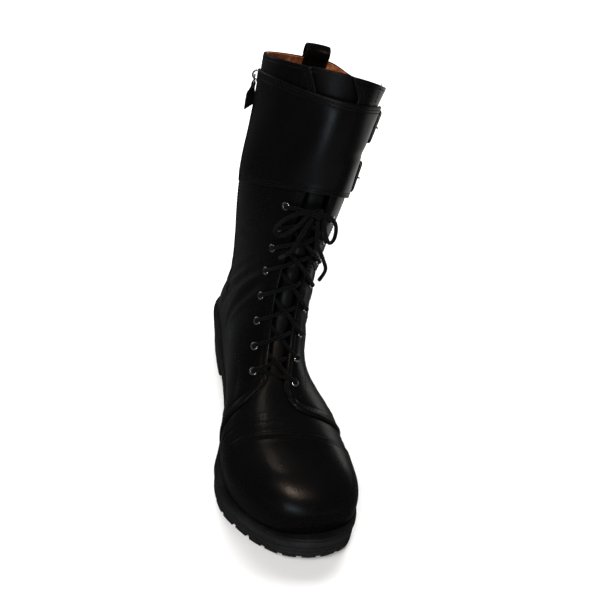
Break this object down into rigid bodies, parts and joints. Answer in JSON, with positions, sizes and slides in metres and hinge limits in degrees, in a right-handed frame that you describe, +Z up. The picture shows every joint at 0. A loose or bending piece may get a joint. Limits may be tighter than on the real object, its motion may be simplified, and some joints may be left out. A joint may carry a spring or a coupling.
{
  "type": "motorcycle boot",
  "caption": "Left black leather lace-up motorcycle boot, mid-calf, with buckled cuff, side zip, back pull loop and lugged rubber sole.",
  "frame": {"origin": "the middle of the heel's flat bottom, on the floor", "axes": "+Z up, the toe points along -Y, +X is the lateral side of the left foot"},
  "size_m": [0.1301, 0.287, 0.3085],
  "materials": {
    "leather": "smooth semi-gloss black leather",
    "tongue_leather": "soft black leather",
    "lining": "worn cognac lining leather",
    "rubber": "matte charcoal rubber",
    "welt": "matte black welt strip",
    "lace": "matte black cord",
    "metal": "bright nickel",
    "zip_cloth": "black woven tape"
  },
  "bodies": {
    "boot": {"outsole": "rubber", "heel": "rubber", "midsole": "welt", "insole": "lining", "upper": "leather", "tongue": "tongue_leather", "eyelet_lateral_1": "metal", "eyelet_medial_1": "metal", "eyelet_lateral_2": "metal", "eyelet_medial_2": "metal", "eyelet_lateral_3": "metal", "eyelet_medial_3": "metal", "eyelet_lateral_4": "metal", "eyelet_medial_4": "metal", "eyelet_lateral_5": "metal", "eyelet_medial_5": "metal", "eyelet_lateral_6": "metal", "eyelet_medial_6": "metal", "eyelet_lateral_7": "metal", "eyelet_medial_7": "metal", "eyelet_lateral_8": "metal", "eyelet_medial_8": "metal", "cuff": "leather", "strap_upper": "leather", "strap_lower": "leather", "chape_upper": "leather", "chape_lower": "leather", "pull_loop": "leather", "buckle_upper": "metal", "buckle_lower": "metal", "zip_teeth": "metal", "zip_slider": "metal", "zip_tape": "zip_cloth", "lace_crossings": "lace", "lace_loop_lateral": "lace", "lace_loop_medial": "lace", "lace_end_lateral": "lace", "lace_end_medial": "lace", "lace_knot": "lace"},
    "zip_pull": {"zip_pull_link": "metal", "zip_pull_tab": "leather"}
  },
  "joints": [
    {"name": "zip_pull_swing", "type": "hinge", "parent": "boot", "child": "zip_pull", "pos_m": [-0.01619, -0.01467, 0.27799], "axis": [0.1723, 0.9226, -0.3451], "range_deg": [0, 150]}
  ]
}
